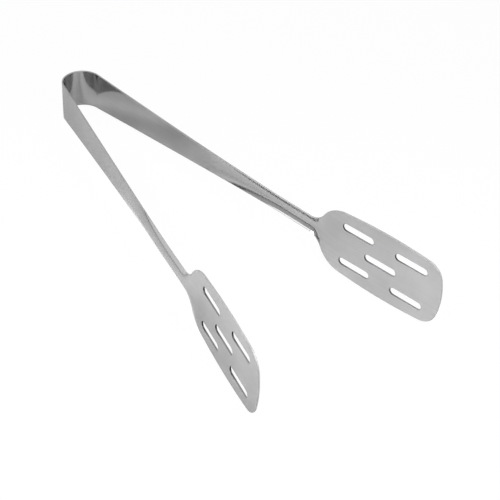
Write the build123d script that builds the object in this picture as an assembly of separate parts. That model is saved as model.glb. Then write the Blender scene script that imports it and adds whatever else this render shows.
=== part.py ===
from build123d import *
import math
import os

# Cake tongs, pressed and bent from one strip of stainless sheet. Millimetres and degrees.
# They lie on the lower edges of their blades, so the strip's width stands along Z.
# The origin is on the floor, half way along the tongs and half way between the arms.
# +X runs from the bow to the blade tips, and +Y to the left arm.
# Distances along the strip are measured from the end of the bow's arc, where an arm starts.

# The whole pair of tongs
overall_length = 240.0
sheet = 0.8
arm_angle = 9.7             # each arm from the middle plane, at rest
tip_clearance = 0.3         # left between the blade tips when squeezed shut

# Bow: the U-turn and the two straight legs that end where the arms flex
bow_radius = 10.6           # to the middle of the sheet
bow_width = 21.9
leg_length = 16.0
leg_stations = 3

# Arms: a long taper, pressed into a gutter whose back stands proud on the outer side
neck_width = 9.2
gutter_depth = 2.15         # how far the neck's back stands out from the plane of its edges
taper_end_share = 0.88      # of the arm's reach, where the neck's width is reached
taper_power_share = 1.34    # 1 is a straight taper, and more eases into the neck
gutter_start_share = 0.37   # of the arm's reach, where the flat strip begins to curl
gutter_full_share = 0.90
arm_stations = 8

# Blades: neck flare, gutter run-out and flat slotted plate
blade_length = 78.4         # from the neck to the tip
blade_width = 38.7
blade_turn = 2.0            # each blade's turn outwards from its arm
blade_side_bulge = 1.15     # by which the long sides bow out
flare_inner_radius = 9.0    # hollow curve from the neck
flare_outer_radius = 16.0   # round shoulder into the side
run_out_length = 20.2       # from the neck to where the gutter is flat
neck_stations = 12
tip_radius = 44.0           # of the gently rounded end
tip_corner_radius = 9.4

# Slots: five in each blade, in the pattern two, one, two
slot_length = 18.0
slot_width = 4.0
slot_row_offset = 10.5      # outer rows from the blade's middle line
tip_slots_back = 18.3       # slot centres, back from the blade's tip
middle_slot_back = 34.8
neck_slots_back = 49.0
cut_overrun = 1.0           # by which a cut runs past both faces


def smooth_step(share):
    """Eases from 0 to 1 as share goes from 0 to 1, level at both ends."""
    held = min(max(share, 0), 1)
    return held * held * (3 - 2 * held)


# Sizes that follow from those above
half_sheet = sheet / 2
arm_heading = math.radians(arm_angle)
blade_heading = math.radians(arm_angle + blade_turn)
half_blade = blade_width / 2
half_shoulder = half_blade - blade_side_bulge
flare_angle = math.acos(1 - (half_shoulder - neck_width / 2) / (flare_inner_radius + flare_outer_radius))
flare_turn_at = flare_inner_radius * math.sin(flare_angle)
flare_length = (flare_inner_radius + flare_outer_radius) * math.sin(flare_angle)
flare_outer_swing = math.asin((flare_length - run_out_length) / flare_outer_radius)
neck_bend_radius = run_out_length / math.radians(blade_turn)
neck_bend_x = neck_bend_radius * (math.sin(blade_heading) - math.sin(arm_heading))
plate_length = blade_length - run_out_length

# The arm's reach, from the bow's arc to the neck, is what the overall length leaves
plate_x = plate_length * math.cos(blade_heading) + half_sheet * math.sin(blade_heading)
bow_back = bow_radius + half_sheet
arm_start_x = -bow_radius * math.sin(arm_heading)
arm_start_y = bow_radius * math.cos(arm_heading)
arm_reach = (overall_length - bow_back - arm_start_x - neck_bend_x - plate_x) / math.cos(arm_heading)
middle_x = overall_length / 2 - bow_back
to_floor_frame = Location((-middle_x, 0, half_blade))


def strip_plane(along):
    """The plane across the left half of the strip: its x is the sheet's outward normal, its y is up."""
    straight = min(along, arm_reach)
    bent = min(max(along - arm_reach, 0), run_out_length)
    heading = arm_heading + bent / neck_bend_radius
    x = arm_start_x + straight * math.cos(arm_heading)
    x += neck_bend_radius * (math.sin(heading) - math.sin(arm_heading))
    y = arm_start_y + straight * math.sin(arm_heading)
    y += neck_bend_radius * (math.cos(arm_heading) - math.cos(heading))
    return Plane(
        origin=(x, y, 0),
        x_dir=(-math.sin(heading), math.cos(heading), 0),
        z_dir=(math.cos(heading), math.sin(heading), 0),
    )


def half_width(along):
    """Half the strip's width: the arm's taper, then the flare's hollow and round arcs."""
    past_neck = along - arm_reach
    if past_neck <= 0:
        left = max(1 - along / (taper_end_share * arm_reach), 0)
        return neck_width / 2 + (bow_width - neck_width) / 2 * left**taper_power_share
    if past_neck < flare_turn_at:
        return neck_width / 2 + flare_inner_radius - math.sqrt(flare_inner_radius**2 - past_neck**2)
    to_shoulder = flare_length - past_neck
    return half_shoulder - flare_outer_radius + math.sqrt(flare_outer_radius**2 - to_shoulder**2)


def back_height(along):
    """How far the back stands out from the edges: nothing at the bow, full at the neck, none at the plate."""
    rise = (along / arm_reach - gutter_start_share) / (gutter_full_share - gutter_start_share)
    fall = (along - arm_reach) / run_out_length
    return gutter_depth * smooth_step(rise) * (1 - smooth_step(fall))


def strip_section(along):
    """The cross-section: an arc, or flat where its back has no height, with ends square to the sheet."""
    half = half_width(along)
    height = back_height(along)
    swing = 2 * math.atan(height / half)
    sides = []
    for side in (half_sheet, -half_sheet):
        end_x = side * math.cos(swing)
        end_y = half + side * math.sin(swing)
        handle = (2 * (half**2 + height**2) + 4 * side * height) / (3 * half)
        knee_x = end_x + handle * math.sin(swing)
        knee_y = end_y - handle * math.cos(swing)
        sides.append([(end_x, -end_y), (knee_x, -knee_y), (knee_x, knee_y), (end_x, end_y)])
    outer, inner = sides
    edges = [
        Bezier(*outer),
        Line(outer[-1], inner[-1]),
        Bezier(*reversed(inner)),
        Line(inner[0], outer[0]),
    ]
    return strip_plane(along) * Face(Wire(edges))


def strip_between(start, end, stations):
    """The formed strip from one distance to another, lofted through evenly spaced sections."""
    places = [start + (end - start) * step / (stations - 1) for step in range(stations)]
    return loft([strip_section(place) for place in places])


def blade_outline():
    """Half of the flat plate beyond the run-out: shoulder, bowed side, corner and rounded end."""
    root_half = half_width(arm_reach + run_out_length)
    shoulder_x = flare_length - run_out_length
    shoulder_mid_x = shoulder_x - flare_outer_radius * math.sin(flare_outer_swing / 2)
    shoulder_mid_y = half_shoulder - flare_outer_radius * (1 - math.cos(flare_outer_swing / 2))
    end_centre_x = plate_length - tip_radius
    corner_reach = tip_radius - tip_corner_radius
    corner_centre_y = half_shoulder - tip_corner_radius
    corner_centre_x = end_centre_x + math.sqrt(corner_reach**2 - corner_centre_y**2)
    meet = math.atan2(corner_centre_y, corner_centre_x - end_centre_x)
    corner_end = (end_centre_x + tip_radius * math.cos(meet), tip_radius * math.sin(meet))
    corner_mid_angle = (math.pi / 2 + meet) / 2
    corner_mid = (
        corner_centre_x + tip_corner_radius * math.cos(corner_mid_angle),
        corner_centre_y + tip_corner_radius * math.sin(corner_mid_angle),
    )
    side_mid = ((shoulder_x + corner_centre_x) / 2, half_blade)
    tip_mid = (end_centre_x + tip_radius * math.cos(meet / 2), tip_radius * math.sin(meet / 2))
    return [
        Line((0, 0), (0, root_half)),
        ThreePointArc((0, root_half), (shoulder_mid_x, shoulder_mid_y), (shoulder_x, half_shoulder)),
        ThreePointArc((shoulder_x, half_shoulder), side_mid, (corner_centre_x, half_shoulder)),
        ThreePointArc((corner_centre_x, half_shoulder), corner_mid, corner_end),
        ThreePointArc(corner_end, tip_mid, (plate_length, 0)),
        Line((plate_length, 0), (0, 0)),
    ]


def make_blade():
    """Neck, flare and plate in one, with the slots punched square through the plate."""
    root = strip_plane(arm_reach + run_out_length)
    plate_plane = Plane(origin=root.origin, x_dir=root.z_dir, z_dir=-root.x_dir)
    upper = Face(Wire(blade_outline()))
    plate = extrude(upper + mirror(upper, Plane.XZ), half_sheet, both=True)
    slot_places = [
        (plate_length - neck_slots_back, slot_row_offset),
        (plate_length - neck_slots_back, -slot_row_offset),
        (plate_length - middle_slot_back, 0),
        (plate_length - tip_slots_back, slot_row_offset),
        (plate_length - tip_slots_back, -slot_row_offset),
    ]
    slots = [Pos(x, y) * SlotOverall(slot_length, slot_width) for x, y in slot_places]
    cuts = [plate_plane * extrude(slot, half_sheet + cut_overrun, both=True) for slot in slots]
    return strip_between(arm_reach, arm_reach + run_out_length, neck_stations) + plate_plane * plate - cuts


def make_bow():
    """The U-turn, revolved about its centre, with a straight tapering leg at each end."""
    turn = 180 - 2 * arm_angle
    band = Plane.XZ * Pos(bow_radius, 0) * Rectangle(sheet, bow_width)
    arc = Rot(0, 0, 90 + arm_angle) * revolve(band, Axis.Z, turn)
    leg = strip_between(0, leg_length, leg_stations)
    return arc + leg + mirror(leg, Plane.XZ)


left_arm = strip_between(leg_length, arm_reach, arm_stations)
left_blade = make_blade()
pieces = {
    "bow": make_bow(),
    "left_arm": left_arm,
    "left_blade": left_blade,
    "right_arm": mirror(left_arm, Plane.XZ),
    "right_blade": mirror(left_blade, Plane.XZ),
}

# Each arm turns about the inner edge of its joint with the bow's leg, so closing it opens
# the joint and nothing overlaps. It stops where the blades' inner tips nearly meet.
hinge = strip_plane(leg_length)
hinge_x = hinge.origin.X - half_sheet * hinge.x_dir.X
hinge_y = hinge.origin.Y - half_sheet * hinge.x_dir.Y
plate_root = strip_plane(arm_reach + run_out_length)
tip = plate_root.origin + plate_root.z_dir * plate_length - plate_root.x_dir * half_sheet
tip_reach = math.hypot(tip.X - hinge_x, tip.Y - hinge_y)
tip_bearing = math.atan2(tip.Y - hinge_y, tip.X - hinge_x)
closing_angle = math.degrees(tip_bearing - math.asin((tip_clearance / 2 - hinge_y) / tip_reach))

os.makedirs("parts", exist_ok=True)
for name, piece in pieces.items():
    export_step(to_floor_frame * piece, f"parts/{name}.step")

print(f"arm reach {arm_reach:.2f}, closes by {closing_angle:.2f} degrees a side")
print(f"left hinge at ({hinge_x - middle_x:.3f}, {hinge_y:.3f})")
print(f"left blade's inner tip at ({tip.X - middle_x:.3f}, {tip.Y:.3f})")
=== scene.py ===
import math

import bpy
import numpy as np
from mathutils import Matrix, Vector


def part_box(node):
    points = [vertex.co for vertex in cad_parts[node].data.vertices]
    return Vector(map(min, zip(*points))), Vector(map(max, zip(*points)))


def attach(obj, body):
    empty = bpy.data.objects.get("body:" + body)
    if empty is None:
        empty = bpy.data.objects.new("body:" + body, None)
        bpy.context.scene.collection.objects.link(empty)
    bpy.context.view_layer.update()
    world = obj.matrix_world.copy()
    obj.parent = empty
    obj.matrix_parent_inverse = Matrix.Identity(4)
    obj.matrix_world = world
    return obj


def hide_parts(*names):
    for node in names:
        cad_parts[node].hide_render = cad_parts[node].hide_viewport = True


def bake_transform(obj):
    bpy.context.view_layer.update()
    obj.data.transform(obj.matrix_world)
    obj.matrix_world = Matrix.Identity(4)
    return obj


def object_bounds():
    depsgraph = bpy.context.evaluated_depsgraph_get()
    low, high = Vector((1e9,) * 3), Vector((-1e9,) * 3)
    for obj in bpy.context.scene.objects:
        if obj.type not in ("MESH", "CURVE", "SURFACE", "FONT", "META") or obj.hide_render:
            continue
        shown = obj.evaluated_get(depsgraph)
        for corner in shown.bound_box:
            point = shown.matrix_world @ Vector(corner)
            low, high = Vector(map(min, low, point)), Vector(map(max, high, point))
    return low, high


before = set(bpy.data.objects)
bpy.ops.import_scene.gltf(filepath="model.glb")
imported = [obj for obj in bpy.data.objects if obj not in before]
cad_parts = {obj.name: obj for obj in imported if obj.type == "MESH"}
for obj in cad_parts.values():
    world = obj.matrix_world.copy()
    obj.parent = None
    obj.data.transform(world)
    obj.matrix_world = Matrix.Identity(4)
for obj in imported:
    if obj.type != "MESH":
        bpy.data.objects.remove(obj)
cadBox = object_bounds()
print("frame loaded")

# Cake tongs from one strip of stainless sheet. Shapes are worked out in millimetres and go into
# the meshes in metres. Along is the distance from the end of the bow's arc, across is measured
# over the sheet from its middle line, and depth is from the sheet's middle, outwards.
millimetre = 0.001

# Each face's steel by its number: the satin faces, the tumbled edges and the slots' punched walls
satinFace, edgeFace, punchedFace = 0, 1, 2

strip = {
    "sheet": 0.8,
    "edgeRounding": 0.17,       # radius left on every cut edge by tumbling
    "edgeHold": 0.05,           # narrow flat row beside the rounding, which keeps the face's shading flat
    "seamHold": 0.05,           # narrow row beside a seam, for the same reason
    "cornerSteps": 4,           # points on the rounding
    "armAngle": math.radians(9.7),
    "bowRadius": 10.6,          # to the middle of the sheet
    "bladeTurn": math.radians(2.0),
}
gutter = {
    "neckWidth": 9.2,
    "depth": 2.15,              # how far the neck's back stands out from its edges
    "taperEnd": 0.88,           # share of the arm's reach where its taper ends
    "taperPower": 1.34,
    "start": 0.37,              # shares of the arm's reach where the gutter starts and is full
    "full": 0.90,
    "runOut": 20.2,             # from the neck to where the gutter is flat
}
outline = {
    "length": 78.4,             # from the neck to the tip
    "sideBulge": 1.15,          # how far the sides bow out past the shoulders
    "hollowRadius": 9.0,
    "shoulderRadius": 16.0,
    "tipRadius": 44.0,
    "cornerRadius": 9.4,
}

# Sizes that the frame gives: the blade is as wide as the tongs are high
bowBox = [[value / millimetre for value in corner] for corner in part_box("bow")]
wholeBox = [[value / millimetre for value in corner] for corner in cadBox]
overallLength = wholeBox[1][0] - wholeBox[0][0]
bladeWidth = wholeBox[1][2] - wholeBox[0][2]
bowWidth = bowBox[1][2] - bowBox[0][2]

halfSheet = strip["sheet"] / 2
armHeading = strip["armAngle"]
bladeHeading = armHeading + strip["bladeTurn"]
halfNeck = gutter["neckWidth"] / 2
halfBlade = bladeWidth / 2
halfShoulder = halfBlade - outline["sideBulge"]
flareRadii = outline["hollowRadius"] + outline["shoulderRadius"]
flareAngle = math.acos(1 - (halfShoulder - halfNeck) / flareRadii)
flareTurnAt = outline["hollowRadius"] * math.sin(flareAngle)
flareLength = flareRadii * math.sin(flareAngle)
neckBendRadius = gutter["runOut"] / strip["bladeTurn"]
plateLength = outline["length"] - gutter["runOut"]

# The outline's arcs beyond the shoulder, placed from the neck
tipCentre = outline["length"] - outline["tipRadius"]
cornerAcross = halfShoulder - outline["cornerRadius"]
cornerAlong = tipCentre + math.sqrt((outline["tipRadius"] - outline["cornerRadius"])**2 - cornerAcross**2)
sideChord = cornerAlong - flareLength
sideRadius = (sideChord**2 / 4 + outline["sideBulge"]**2) / (2 * outline["sideBulge"])
sideMiddle = (cornerAlong + flareLength) / 2
tipJoinAcross = outline["tipRadius"] * cornerAcross / (outline["tipRadius"] - outline["cornerRadius"])

# The arm's reach is what the overall length leaves
plateAlongX = plateLength * math.cos(bladeHeading) + halfSheet * math.sin(bladeHeading)
neckAlongX = neckBendRadius * (math.sin(bladeHeading) - math.sin(armHeading))
bowBack = strip["bowRadius"] + halfSheet
armStartX = -strip["bowRadius"] * math.sin(armHeading)
armReach = (overallLength - bowBack - armStartX - neckAlongX - plateAlongX) / math.cos(armHeading)
bowArc = strip["bowRadius"] * (math.pi - 2 * armHeading)
frameShift = overallLength / 2 - bowBack


# Half the strip's width: the arm's eased taper, the flare's hollow and round arcs, the bowed side
# and the corner, each the height of its own circle over the middle line.
def halfWidth(along):
    past = along - armReach
    left = np.clip(1 - along / (gutter["taperEnd"] * armReach), 0, 1)
    taper = halfNeck + (bowWidth / 2 - halfNeck) * left**gutter["taperPower"]
    hollow = halfNeck + outline["hollowRadius"] - circleHeight(past, outline["hollowRadius"])
    shoulderHeight = circleHeight(past - flareLength, outline["shoulderRadius"])
    shoulder = halfShoulder - outline["shoulderRadius"] + shoulderHeight
    side = halfBlade - sideRadius + circleHeight(past - sideMiddle, sideRadius)
    corner = cornerAcross + circleHeight(past - cornerAlong, outline["cornerRadius"])
    ends = [past <= 0, past < flareTurnAt, past < flareLength, past < cornerAlong]
    return np.select(ends, [taper, hollow, shoulder, side], corner)


# Height of a circle over its middle, at an offset from that middle.
def circleHeight(offset, radius):
    return np.sqrt(np.maximum(radius**2 - offset**2, 0))


# Where the blade ends at a place across: the wide tip arc, then the corner's arc.
def bladeEnd(across):
    tip = tipCentre + circleHeight(across, outline["tipRadius"])
    corner = cornerAlong + circleHeight(np.abs(across) - cornerAcross, outline["cornerRadius"])
    return np.where(np.abs(across) < tipJoinAcross, tip, corner)


# 0 to 1, level at both ends: three squares less two cubes.
def smoothStep(share):
    held = np.clip(share, 0, 1)
    return held**2 * (3 - 2 * held)


# How far the back stands out: rises smoothly along the arm, falls smoothly over the run-out.
def backHeight(along):
    rise = (along / armReach - gutter["start"]) / (gutter["full"] - gutter["start"])
    fall = (along - armReach) / gutter["runOut"]
    return gutter["depth"] * smoothStep(rise) * (1 - smoothStep(fall))


# A point of the strip from its along, across and depth. On the floor plan the path is the bow's
# circle, a straight arm, an arc at the neck and the straight plate. Across the path the section
# is a circle's arc through both edges with its back proud: a turn of curvature times across puts
# the point at the arc's sine upwards and at its height less one minus cosine outwards.
def onStrip(along, across, depth, side):
    heading = armHeading - np.minimum(along, 0) / strip["bowRadius"]
    straight = np.clip(along, 0, armReach)
    neck = armHeading + np.clip(along - armReach, 0, gutter["runOut"]) / neckBendRadius
    plate = np.maximum(along - armReach - gutter["runOut"], 0)
    pathX = -strip["bowRadius"] * np.sin(heading) + straight * np.cos(armHeading)
    pathX = pathX + neckBendRadius * (np.sin(neck) - np.sin(armHeading)) + plate * np.cos(neck)
    pathY = strip["bowRadius"] * np.cos(heading) + straight * np.sin(armHeading)
    pathY = pathY + neckBendRadius * (np.cos(armHeading) - np.cos(neck)) + plate * np.sin(neck)
    facing = heading + neck - armHeading
    curl = 2 * np.arctan(backHeight(along) / halfWidth(along))
    turn = np.sin(curl) / halfWidth(along) * across
    outward = backHeight(along) - across * turn / 2 * np.sinc(turn / (2 * np.pi))**2 + depth * np.cos(turn)
    upward = across * np.sinc(turn / np.pi) + depth * np.sin(turn)
    x = pathX - outward * np.sin(facing) - frameShift
    y = side * (pathY + outward * np.cos(facing))
    return np.stack(np.broadcast_arrays(x, y, upward + halfBlade), axis=-1) * millimetre


# Half the strip's width measured over the curled sheet: half the chord times curl over its sine.
def halfGirth(along):
    curl = 2 * np.arctan(backHeight(along) / halfWidth(along))
    return halfWidth(along) / np.sinc(curl / np.pi)


# Lines through every stop in turn, no further apart than the spacing given for each gap.
def linesThrough(stops, spacings):
    gaps = [np.linspace(start, end, max(1, math.ceil((end - start) / spacing)), endpoint=False)
            for start, end, spacing in zip(stops[:-1], stops[1:], spacings)]
    return np.concatenate(gaps + [stops[-1:]])


# The rim's profile, from the outer face to the inner one: a quarter circle, a flat and a quarter
# circle. Inset is measured inwards from the cut edge.
quarter = np.linspace(0, np.pi / 2, strip["cornerSteps"])
roundInset = strip["edgeRounding"] * (1 - np.sin(quarter))
roundDepth = halfSheet - strip["edgeRounding"] * (1 - np.cos(quarter))
rimInset = np.concatenate([roundInset, roundInset[::-1]])
rimDepth = np.concatenate([roundDepth, -roundDepth[::-1]])
faceInset = strip["edgeRounding"] + strip["edgeHold"]


# Normals of a chain of points in the strip's own plane: its tangent by differences, turned a
# quarter to the right, which is away from the sheet when the chain keeps the sheet on its left.
def chainNormals(along, across):
    run = np.concatenate([[0], np.cumsum(np.hypot(np.diff(along), np.diff(across)))])
    tangent = np.gradient(np.stack([along, across]), run, axis=1)
    tangent /= np.hypot(*tangent)
    return tangent[1], -tangent[0]


# A piece of the strip as a closed mesh. Its two faces are the grid at plus and minus half the
# sheet; along each chain of the grid's nodes a rounded rim joins them; flat caps close the ends.
# side is 1 for the half towards +Y and -1 for its mirror image.
def buildSheet(name, along, across, solidCells, chains, caps, side):
    nodeCount = along.size
    nodeIndex = np.arange(nodeCount).reshape(along.shape)
    faceAlong, faceAcross = along.copy(), across.copy()
    rimPlaces, rimGrids, nextIndex = [], [], 2 * nodeCount
    for chain in chains:
        rows, columns = chain["rows"], chain["columns"]
        outAlong, outAcross = chain["normals"]
        edgeAlong, edgeAcross = along[rows, columns], across[rows, columns]
        faceAlong[rows, columns] = edgeAlong - outAlong * faceInset
        faceAcross[rows, columns] = edgeAcross - outAcross * faceInset
        rimAlong = edgeAlong[:, None] - outAlong[:, None] * rimInset
        rimAcross = edgeAcross[:, None] - outAcross[:, None] * rimInset
        depths = np.broadcast_to(rimDepth, rimAlong.shape)
        rimPlaces.append(np.stack([rimAlong, rimAcross, depths], axis=-1).reshape(-1, 3))
        rings = nextIndex + np.arange(rimAlong.size).reshape(rimAlong.shape)
        front, back = nodeIndex[rows, columns], nodeIndex[rows, columns] + nodeCount
        rings = np.column_stack([front, rings, back])
        rimGrids.append(np.vstack([rings, rings[:1]]) if chain["closed"] else rings)
        nextIndex += rimAlong.size
    halves = [np.stack([faceAlong, faceAcross, np.full(along.shape, depth)], axis=-1).reshape(-1, 3)
              for depth in (halfSheet, -halfSheet)]
    places = np.concatenate(halves + rimPlaces)

    corners = [nodeIndex[:-1, :-1], nodeIndex[:-1, 1:], nodeIndex[1:, 1:], nodeIndex[1:, :-1]]
    cells = np.stack([corner[solidCells] for corner in corners], axis=-1)
    rims = [gridQuads(rings) for rings in rimGrids]
    quads = np.concatenate([cells, cells[:, ::-1] + nodeCount] + rims)
    rimSteels = [np.full(len(rim), punchedFace if chain["closed"] else edgeFace)
                 for rim, chain in zip(rims, chains)]
    faceSteels = np.concatenate([np.full(2 * len(cells), satinFace)] + rimSteels)
    capLoops = [capLoop(nodeIndex[row], nodeCount, rimGrids, firstRim, lastRim, reverse)
                for row, firstRim, lastRim, reverse in caps]

    # Only the points that a face uses are kept
    used, renumbered = np.unique(np.concatenate([quads.ravel()] + capLoops), return_inverse=True)
    places = places[used]
    quads = renumbered[:quads.size].reshape(-1, 4)
    loops, start = [], quads.size
    for loop in capLoops:
        loops.append(renumbered[start:start + len(loop)])
        start += len(loop)
    points = onStrip(places[:, 0], places[:, 1], places[:, 2], side)
    return makeMesh(name, points, places, quads, faceSteels, loops, side)


# Quads of a grid of point numbers, whose rows run along the rim and whose columns run over it.
def gridQuads(grid):
    corners = [grid[:-1, :-1], grid[1:, :-1], grid[1:, 1:], grid[:-1, 1:]]
    return np.stack([corner.ravel() for corner in corners], axis=-1)


# The loop round an end: over the outer face, down the last rim, back over the inner face, up the
# first rim. firstRim and lastRim are (chain, row) pairs.
def capLoop(row, nodeCount, rimGrids, firstRim, lastRim, reverse):
    down = rimGrids[lastRim[0]][lastRim[1], 1:-1]
    up = rimGrids[firstRim[0]][firstRim[1], 1:-1][::-1]
    loop = np.concatenate([row, down, row[::-1] + nodeCount, up])
    return loop[::-1] if reverse else loop


# Arrays into a mesh object. The mirrored half has its faces turned round. Every point keeps its
# place on the strip, running on from one half to the other, for the grain of the steel to follow,
# and only the caps are flat shaded.
def makeMesh(name, points, places, quads, faceSteels, loops, side):
    turned = slice(None, None, -1) if side < 0 else slice(None)
    faces = [quads[:, turned].ravel()] + [loop[turned] for loop in loops]
    sizes = np.concatenate([np.full(len(quads), 4), [len(loop) for loop in loops]]).astype(np.int32)
    starts = np.concatenate([[0], np.cumsum(sizes)[:-1]]).astype(np.int32)
    mesh = bpy.data.meshes.new(name)
    mesh.vertices.add(len(points))
    mesh.vertices.foreach_set("co", points.astype(np.float32).ravel())
    mesh.loops.add(int(sizes.sum()))
    mesh.loops.foreach_set("vertex_index", np.concatenate(faces).astype(np.int32))
    mesh.polygons.add(len(sizes))
    mesh.polygons.foreach_set("loop_start", starts)
    steelNumbers = np.concatenate([faceSteels, np.full(len(loops), satinFace)]).astype(np.int32)
    mesh.polygons.foreach_set("material_index", steelNumbers)
    mesh.update(calc_edges=True)
    sharp = mesh.attributes.get("sharp_face") or mesh.attributes.new("sharp_face", "BOOLEAN", "FACE")
    sharp.data.foreach_set("value", np.arange(len(sizes)) >= len(quads))
    alongStrip = places[:, 0] if side > 0 else -bowArc - places[:, 0]
    stripPlace = np.stack([alongStrip, places[:, 1], places[:, 2]], axis=-1) * millimetre
    attribute = mesh.attributes.new("stripPlace", "FLOAT_VECTOR", "POINT")
    attribute.data.foreach_set("vector", stripPlace.astype(np.float32).ravel())
    mesh.validate()
    piece = bpy.data.objects.new(name, mesh)
    bpy.context.scene.collection.objects.link(piece)
    return piece


# A plain length of the strip: its lines run at fixed shares of the width, with a rim along both
# edges and a cap at both ends.
def buildLength(name, rows, columnCount, side):
    shares = np.linspace(-1, 1, columnCount)
    along = np.repeat(rows[:, None], columnCount, axis=1)
    across = shares * halfGirth(along)
    last = columnCount - 1
    upRows, downRows = np.arange(len(rows)), np.arange(len(rows))[::-1]
    chains = []
    for chainRows, column in ((upRows, 0), (downRows, last)):
        columns = np.full(len(rows), column)
        normals = chainNormals(along[chainRows, columns], across[chainRows, columns])
        chains.append({"rows": chainRows, "columns": columns, "normals": normals, "closed": False})
    caps = [(0, (0, 0), (1, len(rows) - 1), True), (-1, (0, len(rows) - 1), (1, 0), False)]
    solidCells = np.ones((len(rows) - 1, last), bool)
    return buildSheet(name, along, across, solidCells, chains, caps, side)


# The rows of a length, with a narrow row beside each seam.
def withSeamHolds(rows):
    hold = strip["seamHold"]
    return np.concatenate([rows[:1], rows[:1] + hold, rows[1:-1], rows[-1:] - hold, rows[-1:]])


# Finish of the steel

grainSettings = {
    "lineAcross": 2600.0,       # lines in a metre across the strip
    "lineAlong": 28.0,          # and along it, so each line is a few centimetres long
    "lineDetail": 2,
    "lineRough": 0.5,
    "streakAcross": 700.0,
    "streakAlong": 9.0,
    "streakDetail": 4,
    "streakRough": 0.6,
    "streakGloss": 0.5,         # share of the streaks that the gloss takes, beside the clouds
    "cloudScale": 38.0,
    "cloudDetail": 3,
    "cloudRough": 0.55,
    "scratchScale": 95.0,
    "scratchStretch": 0.4,      # the scale along the strip, as a share of the scale across
    "scratchTurn": 0.5,         # radians off the strip's own direction
    "scratchWidth": 0.012,
    "scratchFrom": 0.56,        # the clouds' level from which scratches show
}
depthNames = ("Line Depth", "Streak Depth", "Cloud Depth", "Scratch Depth")
noiseMiddle = 0.5


# A node of a kind at a place in the editor, with its settings by name.
def addNode(tree, kind, place, **values):
    node = tree.nodes.new(kind)
    node.location = place
    for key, value in values.items():
        setattr(node, key, value)
    return node


# One step of arithmetic on sockets and plain numbers.
def mathNode(tree, operation, place, first, second=None, third=None):
    node = addNode(tree, "ShaderNodeMath", place, operation=operation)
    for socket, value in zip(node.inputs, (first, second, third)):
        if isinstance(value, bpy.types.NodeSocket):
            tree.links.new(value, socket)
        elif value is not None:
            socket.default_value = value
    return node.outputs[0]


# Noise with its own scale along, across and through the strip.
def stretchedNoise(tree, vector, place, scale, detail, rough):
    mapping = addNode(tree, "ShaderNodeMapping", place)
    mapping.inputs["Scale"].default_value = scale
    tree.links.new(vector, mapping.inputs["Vector"])
    noise = addNode(tree, "ShaderNodeTexNoise", (place[0] + 200, place[1]))
    noise.inputs["Scale"].default_value = 1.0
    noise.inputs["Detail"].default_value = detail
    noise.inputs["Roughness"].default_value = rough
    tree.links.new(mapping.outputs["Vector"], noise.inputs["Vector"])
    return noise.outputs["Fac"]


# Noise less its middle level, times a depth.
def swingNode(tree, place, noise, depth):
    centred = mathNode(tree, "SUBTRACT", (place[0] - 150, place[1]), noise, noiseMiddle)
    return mathNode(tree, "MULTIPLY", place, centred, depth)


# Group "rolledGrain": fine lines and broad streaks along the strip, handling clouds and a few hair
# scratches. Shade and gloss come out centred on 0 and height for a bump.
def makeGrainGroup():
    group = bpy.data.node_groups.new("rolledGrain", "ShaderNodeTree")
    for name in depthNames:
        group.interface.new_socket(name, in_out="INPUT", socket_type="NodeSocketFloat")
    place = group.interface.new_socket("Place", in_out="INPUT", socket_type="NodeSocketVector")
    place.hide_value = True
    for name in ("Shade", "Gloss", "Height"):
        group.interface.new_socket(name, in_out="OUTPUT", socket_type="NodeSocketFloat")
    inputs = addNode(group, "NodeGroupInput", (-900, 0))
    outputs = addNode(group, "NodeGroupOutput", (700, 0))
    place = inputs.outputs["Place"]
    grain = grainSettings
    lines = stretchedNoise(group, place, (-600, 300), (grain["lineAlong"], grain["lineAcross"], 0),
                           grain["lineDetail"], grain["lineRough"])
    streaks = stretchedNoise(group, place, (-600, 0), (grain["streakAlong"], grain["streakAcross"], 0),
                             grain["streakDetail"], grain["streakRough"])
    clouds = stretchedNoise(group, place, (-600, -300), (grain["cloudScale"],) * 3,
                            grain["cloudDetail"], grain["cloudRough"])

    # Scratches: the thin cell walls of a stretched Voronoi pattern, kept where the clouds are thick
    scratchMapping = addNode(group, "ShaderNodeMapping", (-600, -600))
    scratchAlong = grain["scratchScale"] * grain["scratchStretch"]
    scratchMapping.inputs["Scale"].default_value = (scratchAlong, grain["scratchScale"], 0)
    scratchMapping.inputs["Rotation"].default_value = (0, 0, grain["scratchTurn"])
    group.links.new(place, scratchMapping.inputs["Vector"])
    cells = addNode(group, "ShaderNodeTexVoronoi", (-400, -600), feature="DISTANCE_TO_EDGE")
    group.links.new(scratchMapping.outputs["Vector"], cells.inputs["Vector"])
    wall = addNode(group, "ShaderNodeMapRange", (-200, -600))
    wall.inputs["From Max"].default_value = grain["scratchWidth"]
    wall.inputs["To Min"].default_value = 1.0
    wall.inputs["To Max"].default_value = 0.0
    group.links.new(cells.outputs["Distance"], wall.inputs["Value"])
    thick = mathNode(group, "GREATER_THAN", (-200, -450), clouds, grain["scratchFrom"])
    scratches = mathNode(group, "MULTIPLY", (0, -600), wall.outputs[0], thick)
    scratches = mathNode(group, "MULTIPLY", (150, -600), scratches, inputs.outputs["Scratch Depth"])

    lineSwing = swingNode(group, (0, 300), lines, inputs.outputs["Line Depth"])
    streakSwing = swingNode(group, (0, 0), streaks, inputs.outputs["Streak Depth"])
    cloudSwing = swingNode(group, (0, -300), clouds, inputs.outputs["Cloud Depth"])
    shade = mathNode(group, "ADD", (150, 250), lineSwing, streakSwing)
    shade = mathNode(group, "ADD", (300, 200), shade, cloudSwing)
    gloss = mathNode(group, "MULTIPLY_ADD", (250, 0), streakSwing, grain["streakGloss"], cloudSwing)
    gloss = mathNode(group, "ADD", (400, 0), gloss, scratches)
    height = mathNode(group, "SUBTRACT", (250, -200), lineSwing, scratches)
    group.links.new(shade, outputs.inputs["Shade"])
    group.links.new(gloss, outputs.inputs["Gloss"])
    group.links.new(height, outputs.inputs["Height"])
    return group


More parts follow.
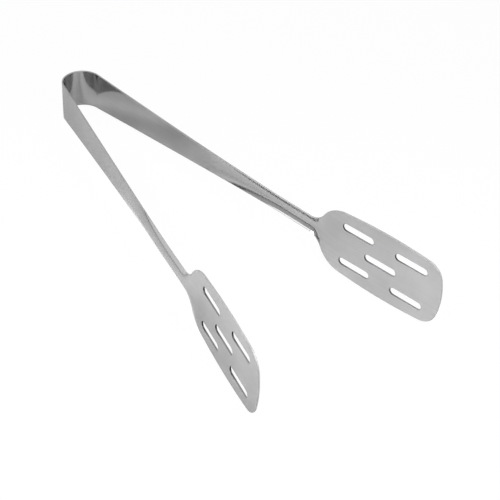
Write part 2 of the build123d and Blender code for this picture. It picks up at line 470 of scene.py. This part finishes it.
# A steel: its colour swings about the base with the grain's shade, and its roughness with the gloss.
# Where the settings say so, it is darker towards the slots' ends on the bow's side, as painted shade.
def makeSteel(name, group, settings):
    material = bpy.data.materials.new(name)
    material.use_nodes = True
    tree = material.node_tree
    surface = tree.nodes["Principled BSDF"]
    surface.inputs["Metallic"].default_value = 1.0
    place = addNode(tree, "ShaderNodeAttribute", (-1000, 0), attribute_name="stripPlace")
    grain = addNode(tree, "ShaderNodeGroup", (-800, 0), node_tree=group)
    for name in depthNames:
        grain.inputs[name].default_value = settings[name]
    tree.links.new(place.outputs["Vector"], grain.inputs["Place"])
    factor = mathNode(tree, "MULTIPLY_ADD", (-600, 200), grain.outputs["Shade"], settings["shadeSwing"], 1.0)
    colour = addNode(tree, "ShaderNodeVectorMath", (-400, 200), operation="SCALE")
    colour.inputs[0].default_value = settings["colour"]
    # Painted shade: the colour darkens towards the slots' ends on the bow's side, where the walls mirror dark
    # surroundings.
    if "slotEndPaintedShade" in settings:
        slotPlace = addNode(tree, "ShaderNodeAttribute", (-1000, 400), attribute_name="slotShare")
        fade = addNode(tree, "ShaderNodeMapRange", (-800, 400))
        fade.inputs["From Max"].default_value = settings["slotEndShadeFade"]
        fade.inputs["To Min"].default_value = settings["slotEndPaintedShade"]
        tree.links.new(slotPlace.outputs["Fac"], fade.inputs["Value"])
        factor = mathNode(tree, "MULTIPLY", (-500, 300), factor, fade.outputs["Result"])
    tree.links.new(factor, colour.inputs["Scale"])
    tree.links.new(colour.outputs["Vector"], surface.inputs["Base Color"])
    rough = mathNode(tree, "MULTIPLY_ADD", (-400, 0), grain.outputs["Gloss"], settings["glossSwing"],
                     settings["roughness"])
    tree.links.new(rough, surface.inputs["Roughness"])
    bump = addNode(tree, "ShaderNodeBump", (-400, -200))
    bump.inputs["Strength"].default_value = settings["bumpStrength"]
    bump.inputs["Distance"].default_value = settings["bumpDistance"]
    tree.links.new(grain.outputs["Height"], bump.inputs["Height"])
    tree.links.new(bump.outputs["Normal"], surface.inputs["Normal"])
    return material


satinSettings = {
    "colour": (0.40, 0.40, 0.404),
    "shadeSwing": 0.22,
    "roughness": 0.14,
    "glossSwing": 0.12,
    "bumpStrength": 0.25,
    "bumpDistance": 0.000003,
    "Line Depth": 1.0,
    "Streak Depth": 0.8,
    "Cloud Depth": 2.0,
    "Scratch Depth": 0.35,
}
edgeSettings = {
    "colour": (0.37, 0.37, 0.373),
    "shadeSwing": 0.12,
    "roughness": 0.72,
    "glossSwing": 0.12,
    "bumpStrength": 0.25,
    "bumpDistance": 0.000003,
    "Line Depth": 1.0,
    "Streak Depth": 1.0,
    "Cloud Depth": 0.6,
    "Scratch Depth": 0.0,
}
punchedSettings = {
    "colour": (0.24, 0.24, 0.242),
    "slotEndPaintedShade": 0.07,        # share of that colour left at the slots' ends on the bow's side, painted shade for the dark that those walls mirror, and the share of a slot's length over which it fades
    "slotEndShadeFade": 0.4,          # polishing grime stays, and the share of a slot's length over which it fades
    "shadeSwing": 0.20,
    "roughness": 0.45,
    "glossSwing": 0.15,
    "bumpStrength": 0.3,
    "bumpDistance": 0.00002,
    "Line Depth": 1.2,
    "Streak Depth": 1.0,
    "Cloud Depth": 0.8,
    "Scratch Depth": 0.0,
}
grainGroup = makeGrainGroup()
steels = [makeSteel(name, grainGroup, settings) for name, settings in (
    ("satinSteel", satinSettings), ("edgeSteel", edgeSettings), ("punchedSteel", punchedSettings))]
print("steel made")


# Gives a piece all three steels, in the order of their numbers.
def finishPiece(piece):
    for steel in steels:
        piece.data.materials.append(steel)
    return piece


# Bow

bowSettings = {"rowSpacing": 0.45, "columns": 19}

bowRows = linesThrough([-bowArc, 0.0], [bowSettings["rowSpacing"]])
bowStrip = buildLength("bowStrip", withSeamHolds(bowRows), bowSettings["columns"], 1)
finishPiece(bowStrip)
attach(bowStrip, "bow")
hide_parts("bow")
print("bow made")

# Arms

armSettings = {
    "rowSpacing": 1.5,
    "columns": 25,
    "flexEnd": 32.0,            # along the arm from the bow's arc: a point here and one at the arc's end are worked out on each arm, but not used
}

armRows = withSeamHolds(linesThrough([0.0, armReach], [armSettings["rowSpacing"]]))
for sideName, side in (("left", 1), ("right", -1)):
    arm = finishPiece(buildLength(sideName + "Arm", armRows, armSettings["columns"], side))
    flexStart, flexEnd = onStrip(np.array([0.0, armSettings["flexEnd"]]), 0.0, 0.0, side)
    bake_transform(arm)
    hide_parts(sideName + "_arm")
print("arms made")

# Blades

bladeSettings = {
    "coarse": 1.3,              # spacing of the grid's lines
    "fine": 0.4,                # near the slots' round ends
    "straightFrom": 13.0,       # from the neck: the lines stop spreading with the flare here
    "straightBy": 19.0,         # and run straight from here
    "straightHalf": 14.2,       # the lines within this of the middle run straight
    "outerLines": 3,
    "tipFrom": 71.2,            # from the neck: beyond here the lines fit the rounded end
    "tipRows": 9,
}
slotSettings = {
    "length": 18.0,
    "width": 4.0,
    "rowOffset": 10.5,
    "tipBack": 18.3,            # centres, back from the tip
    "middleBack": 34.8,
    "neckBack": 49.0,
    "ease": 1.5,                # the grid's lines recover from a round end over this
}

slotHalf = slotSettings["width"] / 2
slotReach = slotSettings["length"] / 2
slotPattern = (("neckBack", -1), ("neckBack", 1), ("middleBack", 0), ("tipBack", -1), ("tipBack", 1))
slotCentres = [(outline["length"] - slotSettings[back], row * slotSettings["rowOffset"])
               for back, row in slotPattern]


# Rows and columns of the blade: fine near the slots' ends and across the slots, coarse elsewhere.
def bladeLines():
    ends = sorted({centre + turn * slotReach for centre, offset in slotCentres for turn in (-1, 1)})
    stops = sorted({0.0, strip["seamHold"], bladeSettings["tipFrom"]}
                   | {end + turn * slotSettings["ease"] for end in ends for turn in (-1, 0, 1)})
    middles = (np.array(stops[:-1]) + np.array(stops[1:])) / 2
    nearEnd = np.min(np.abs(middles[:, None] - np.array(ends)), axis=1) < slotSettings["width"]
    fine, coarse = bladeSettings["fine"], bladeSettings["coarse"]
    rows = linesThrough(stops, np.where(nearEnd, fine, coarse))
    offset, hold = slotSettings["rowOffset"], bladeSettings["straightHalf"]
    acrossStops = [0.0, slotHalf, offset - slotHalf, offset + slotHalf, hold]
    half = linesThrough(acrossStops, [fine, coarse, fine, coarse])
    return rows, np.concatenate([-half[:0:-1], half])


# The grid's nodes. Near the neck the lines spread with the flare, and by the first slots they
# run straight, with outer lines sharing the band that is left. Beyond tipFrom each row goes over
# from the straight line to the rounded end, and its width is the outline's at the row's side.
def bladeGrid():
    rows, straight = bladeLines()
    outer = np.linspace(0, 1, bladeSettings["outerLines"] + 1)[1:]
    hold = bladeSettings["straightHalf"]
    girth = halfGirth(armReach + rows)[:, None]
    band = hold + (girth - hold) * outer
    fixed = np.hstack([-band[:, ::-1], np.repeat(straight[None], len(rows), axis=0), band])
    spreadBand = hold + (halfShoulder - hold) * outer
    spread = np.concatenate([-spreadBand[::-1], straight, spreadBand]) / halfShoulder * girth
    share = smoothStep((rows - bladeSettings["straightFrom"])
                       / (bladeSettings["straightBy"] - bladeSettings["straightFrom"]))[:, None]
    across = spread + (fixed - spread) * share
    along = np.repeat(rows[:, None], across.shape[1], axis=1)

    diagonal = outline["cornerRadius"] * math.sqrt(0.5)
    ease = np.linspace(0, 1, bladeSettings["tipRows"] + 1)[1:, None]
    tipShares = across[-1] / across[-1, -1]
    sideAlong = bladeSettings["tipFrom"] + ease * (cornerAlong + diagonal - bladeSettings["tipFrom"])
    tipAcross = tipShares * halfWidth(armReach + sideAlong)
    endAlong = bladeEnd(tipShares * (cornerAcross + diagonal))
    tipAlong = bladeSettings["tipFrom"] + ease * (endAlong - bladeSettings["tipFrom"])
    return np.vstack([along, tipAlong]), np.vstack([across, tipAcross])


# Rectangles of the grid become slots. Round an end's centre, the rectangular radius is the larger
# of the two offsets; a node goes to the same radius on a circle, by an angle in step with its
# offsets, fully at the slot's edge and not at all a little way out.
def roundSlotEnds(along, across):
    for centre, offset in slotCentres:
        beyond = np.abs(along - centre) - (slotReach - slotHalf)
        fromEnd, aside = np.maximum(beyond, 0), np.abs(across - offset)
        radius = np.maximum(fromEnd, aside)
        step = np.pi / 4 * np.minimum(fromEnd, aside) / np.where(radius > 0, radius, 1)
        angle = np.where(aside > fromEnd, np.pi / 2 - step, step)
        pull = np.where(beyond > 0, 1 - smoothStep((radius - slotHalf) / slotSettings["ease"]), 0)
        newEnd, newAside = radius * np.cos(angle), radius * np.sin(angle)
        along = along + np.sign(along - centre) * (newEnd - fromEnd) * pull
        across = across + np.sign(across - offset) * (newAside - aside) * pull
    return along, across


# The nodes round a slot, clockwise seen from outside, so that the sheet stays on the left, and
# their normals, which point from the slot's edge to its middle line.
def slotChain(rows, columns, along, across, centre, offset):
    firstRow, lastRow = [int(np.argmin(np.abs(rows - centre - turn * slotReach))) for turn in (-1, 1)]
    firstColumn, lastColumn = [int(np.argmin(np.abs(columns - offset - turn * slotHalf))) for turn in (-1, 1)]
    upRows, upColumns = np.arange(firstRow, lastRow), np.arange(firstColumn, lastColumn)
    chainRows = np.concatenate([np.full(len(upColumns), firstRow), upRows,
                                np.full(len(upColumns), lastRow), upRows[::-1] + 1])
    chainColumns = np.concatenate([upColumns, np.full(len(upRows), lastColumn),
                                   upColumns[::-1] + 1, np.full(len(upRows), firstColumn)])
    edgeAlong, edgeAcross = along[chainRows, chainColumns], across[chainRows, chainColumns]
    nearest = np.clip(edgeAlong, centre - slotReach + slotHalf, centre + slotReach - slotHalf)
    normals = ((nearest - edgeAlong) / slotHalf, (offset - edgeAcross) / slotHalf)
    hole = (slice(firstRow, lastRow), slice(firstColumn, lastColumn))
    return {"rows": chainRows, "columns": chainColumns, "normals": normals, "closed": True}, hole


# A blade: the grid, its rim from the neck round the tip and back, and the slots cut out of it.
def buildBlade(name, side):
    rows, straight = bladeLines()
    along, across = bladeGrid()
    sides = bladeSettings["outerLines"]
    columns = np.concatenate([np.full(sides, -halfBlade), straight, np.full(sides, halfBlade)])
    along, across = roundSlotEnds(along, across)
    solidCells = np.ones((along.shape[0] - 1, along.shape[1] - 1), bool)
    lastRow, lastColumn = along.shape[0] - 1, along.shape[1] - 1
    edgeRows = np.concatenate([np.arange(lastRow), np.full(lastColumn, lastRow),
                               np.arange(lastRow + 1)[::-1]])
    edgeColumns = np.concatenate([np.zeros(lastRow, int), np.arange(lastColumn),
                                  np.full(lastRow + 1, lastColumn)])
    normals = chainNormals(along[edgeRows, edgeColumns], across[edgeRows, edgeColumns])
    chains = [{"rows": edgeRows, "columns": edgeColumns, "normals": normals, "closed": False}]
    for centre, offset in slotCentres:
        chain, hole = slotChain(rows, columns, along, across, centre, offset)
        solidCells[hole] = False
        chains.append(chain)
    caps = [(0, (0, 0), (0, len(edgeRows) - 1), True)]
    blade = buildSheet(name, along + armReach, across, solidCells, chains, caps, side)
    storeSlotShare(blade.data, side)
    return blade


# Every point near a slot gets its share of the slot's length, from 0 at the end on the bow's side. The
# punched steel's painted shade follows it.
def storeSlotShare(mesh, side):
    places = np.empty(3 * len(mesh.vertices), np.float32)
    mesh.attributes["stripPlace"].data.foreach_get("vector", places)
    alongStrip, across = places.reshape(-1, 3).T[:2] / millimetre
    along = (alongStrip if side > 0 else -bowArc - alongStrip) - armReach
    shares = np.zeros(len(along))
    for centre, offset in slotCentres:
        beyond = np.maximum(np.abs(along - centre) - slotReach, np.abs(across - offset) - slotHalf)
        share = (along - centre + slotReach) / slotSettings["length"]
        shares = np.where(beyond < slotSettings["ease"], share, shares)
    attribute = mesh.attributes.new("slotShare", "FLOAT", "POINT")
    attribute.data.foreach_set("value", shares.astype(np.float32))


for sideName, side in (("left", 1), ("right", -1)):
    blade = finishPiece(buildBlade(sideName + "Blade", side))
    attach(blade, sideName + "_arm")
    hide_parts(sideName + "_blade")
print("blades made")

# Floor, surroundings and lights

floorSettings = {
    "half": 3.0,                # metres from the middle to each side
    "colour": (0.55, 0.55, 0.55),
    "cameraWhite": 0.97,        # the rest is the lit floor, so that the tongs keep a soft shadow
    "glossyWhite": 0.08,        # the steel sees a little of it, and the lit floor with the arms' shadows
}
worldSettings = {
    "low": 1.25,                # pale walls that carry the floor's brightness on
    "high": 0.08,
    "fadeFrom": 0.35,           # heights of a direction, 1 being straight up, between which they give way
    "fadeTo": 0.85,
    "dimHeading": -90,          # one side is dimmer: the bearing and height of its middle, in degrees
    "dimHeight": 15,
    "dimWithin": 14,            # degrees from its middle up to which it is fully dim,
    "dimUntil": 41,             # and those at which it has given way
    "dimStrength": 0.5,
}


# A flat square, lit and shaded as any pale floor, with a share of plain white for rays that reach
# it straight or through glass, and a smaller one for rays that the steel mirrors.
def makeFloor():
    half = floorSettings["half"]
    mesh = bpy.data.meshes.new("floor")
    corners = [(-half, -half, 0), (half, -half, 0), (half, half, 0), (-half, half, 0)]
    mesh.from_pydata(corners, [], [(0, 1, 2, 3)])
    floor = bpy.data.objects.new("floor", mesh)
    bpy.context.scene.collection.objects.link(floor)
    material = bpy.data.materials.new("paleFloor")
    material.use_nodes = True
    tree = material.node_tree
    tree.nodes.clear()
    path = addNode(tree, "ShaderNodeLightPath", (-600, 200))
    direct = mathNode(tree, "MAXIMUM", (-400, 300), path.outputs["Is Camera Ray"],
                      path.outputs["Is Transmission Ray"])
    direct = mathNode(tree, "MULTIPLY", (-250, 300), direct, floorSettings["cameraWhite"])
    white = mathNode(tree, "MULTIPLY_ADD", (-100, 300), path.outputs["Is Glossy Ray"],
                     floorSettings["glossyWhite"], direct)
    lit = addNode(tree, "ShaderNodeBsdfDiffuse", (-100, 0))
    lit.inputs["Color"].default_value = floorSettings["colour"] + (1,)
    glow = addNode(tree, "ShaderNodeEmission", (-100, -150))
    mix = addNode(tree, "ShaderNodeMixShader", (150, 100))
    output = addNode(tree, "ShaderNodeOutputMaterial", (350, 100))
    tree.links.new(white, mix.inputs[0])
    tree.links.new(lit.outputs[0], mix.inputs[1])
    tree.links.new(glow.outputs[0], mix.inputs[2])
    tree.links.new(mix.outputs[0], output.inputs["Surface"])
    mesh.materials.append(material)


# The surroundings go smoothly from pale low walls to a dim ceiling with the direction's height, and
# are dimmer on one side, by the cosine of the angle to that side's middle. The camera sees them
# white, as it sees the floor.
def makeWorld():
    world = bpy.data.worlds.new("studio")
    world.use_nodes = True
    bpy.context.scene.world = world
    tree = world.node_tree
    tree.nodes.clear()
    direction = addNode(tree, "ShaderNodeTexCoord", (-900, 0))
    parts = addNode(tree, "ShaderNodeSeparateXYZ", (-700, 0))
    tree.links.new(direction.outputs["Generated"], parts.inputs[0])
    fade = addNode(tree, "ShaderNodeMapRange", (-400, 0), interpolation_type="SMOOTHSTEP")
    fade.inputs["From Min"].default_value = worldSettings["fadeFrom"]
    fade.inputs["From Max"].default_value = worldSettings["fadeTo"]
    fade.inputs["To Min"].default_value = worldSettings["low"]
    fade.inputs["To Max"].default_value = worldSettings["high"]
    tree.links.new(parts.outputs["Z"], fade.inputs["Value"])
    path = addNode(tree, "ShaderNodeLightPath", (-500, 300))
    aside = addNode(tree, "ShaderNodeVectorMath", (-700, -200), operation="DOT_PRODUCT")
    aside.inputs[1].default_value = towards(worldSettings["dimHeading"], worldSettings["dimHeight"])
    tree.links.new(direction.outputs["Generated"], aside.inputs[0])
    dim = addNode(tree, "ShaderNodeMapRange", (-400, -300), interpolation_type="SMOOTHSTEP")
    dim.inputs["From Min"].default_value = math.cos(math.radians(worldSettings["dimUntil"]))
    dim.inputs["From Max"].default_value = math.cos(math.radians(worldSettings["dimWithin"]))
    dim.inputs["To Min"].default_value = 1.0
    dim.inputs["To Max"].default_value = worldSettings["dimStrength"]
    tree.links.new(aside.outputs["Value"], dim.inputs["Value"])
    lit = addNode(tree, "ShaderNodeBackground", (-100, 0))
    tree.links.new(fade.outputs["Result"], lit.inputs["Color"])
    tree.links.new(dim.outputs["Result"], lit.inputs["Strength"])
    white = addNode(tree, "ShaderNodeBackground", (-100, -150))
    white.inputs["Color"].default_value = (1, 1, 1, 1)
    mix = addNode(tree, "ShaderNodeMixShader", (100, 100))
    output = addNode(tree, "ShaderNodeOutputWorld", (300, 100))
    tree.links.new(path.outputs["Is Camera Ray"], mix.inputs[0])
    tree.links.new(lit.outputs[0], mix.inputs[1])
    tree.links.new(white.outputs[0], mix.inputs[2])
    tree.links.new(mix.outputs[0], output.inputs["Surface"])


# The direction at a bearing from +X and a height above the floor, both in degrees.
def towards(heading, height):
    heading, height = math.radians(heading), math.radians(height)
    level = math.cos(height)
    return np.array([math.cos(heading) * level, math.sin(heading) * level, math.sin(height)])


# Each lamp is a square that hangs at a heading and height from the point that it is aimed at, and
# faces that point. Lengths are in metres.
lightSettings = [
    {"name": "bladeKey", "aim": (0.11, 0.0, 0.0), "heading": 12, "height": 65, "distance": 0.28,
     "size": 0.13, "power": 1.14},
    {"name": "sideKey", "aim": (0.06, -0.09, 0.0), "heading": -80, "height": 62, "distance": 0.30,
     "size": 0.22, "power": 1.21},
    {"name": "farFill", "aim": (-0.22, -0.24, 0.0), "heading": 0, "height": 90, "distance": 0.34,
     "size": 0.3, "power": 0.61},
]


# A lamp from its settings.
def addLight(settings):
    light = bpy.data.lights.new(settings["name"], "AREA")
    light.size = settings["size"]
    light.energy = settings["power"]
    lamp = bpy.data.objects.new(settings["name"], light)
    bpy.context.scene.collection.objects.link(lamp)
    back = towards(settings["heading"], settings["height"])
    side = towards(settings["heading"] + 90, 0)
    place = np.array(settings["aim"]) + settings["distance"] * back
    setPose(lamp, side, np.cross(back, side), back, place)


# An object's place from its own three axes and its origin.
def setPose(thing, right, up, back, place):
    pose = np.eye(4)
    pose[:3, 0], pose[:3, 1], pose[:3, 2], pose[:3, 3] = right, up, back, place
    thing.matrix_world = Matrix(pose.tolist())


makeFloor()
makeWorld()
for settings in lightSettings:
    addLight(settings)
print("floor, surroundings and lights made")

# Camera, at the photograph's viewing angle

cameraSettings = {
    "azimuth": math.radians(50.5),
    "elevation": math.radians(40.115),
    "roll": math.radians(4.254),
    "distance": 0.5812,         # metres from the point that it is aimed at
    "aim": (0.0436, 0.00016, 0.01935),
    "lens": 88.44,
    "sensor": 36.0,
    "clipStart": 0.01,
}


# The camera looks at its aim from an azimuth, 0 being from -Y, and an elevation, and is rolled.
def addCamera():
    azimuth, elevation, roll = (cameraSettings[key] for key in ("azimuth", "elevation", "roll"))
    back = np.array([math.sin(azimuth) * math.cos(elevation), -math.cos(azimuth) * math.cos(elevation),
                     math.sin(elevation)])
    level = np.array([math.cos(azimuth), math.sin(azimuth), 0.0])
    upright = np.cross(back, level)
    right = level * math.cos(roll) + upright * math.sin(roll)
    up = upright * math.cos(roll) - level * math.sin(roll)
    data = bpy.data.cameras.new("photoCamera")
    data.lens, data.sensor_width = cameraSettings["lens"], cameraSettings["sensor"]
    data.clip_start = cameraSettings["clipStart"]
    camera = bpy.data.objects.new("photoCamera", data)
    bpy.context.scene.collection.objects.link(camera)
    setPose(camera, right, up, back, np.array(cameraSettings["aim"]) + cameraSettings["distance"] * back)
    bpy.context.scene.camera = camera


addCamera()
bpy.context.scene.view_settings.view_transform = "Standard"
print("camera made")
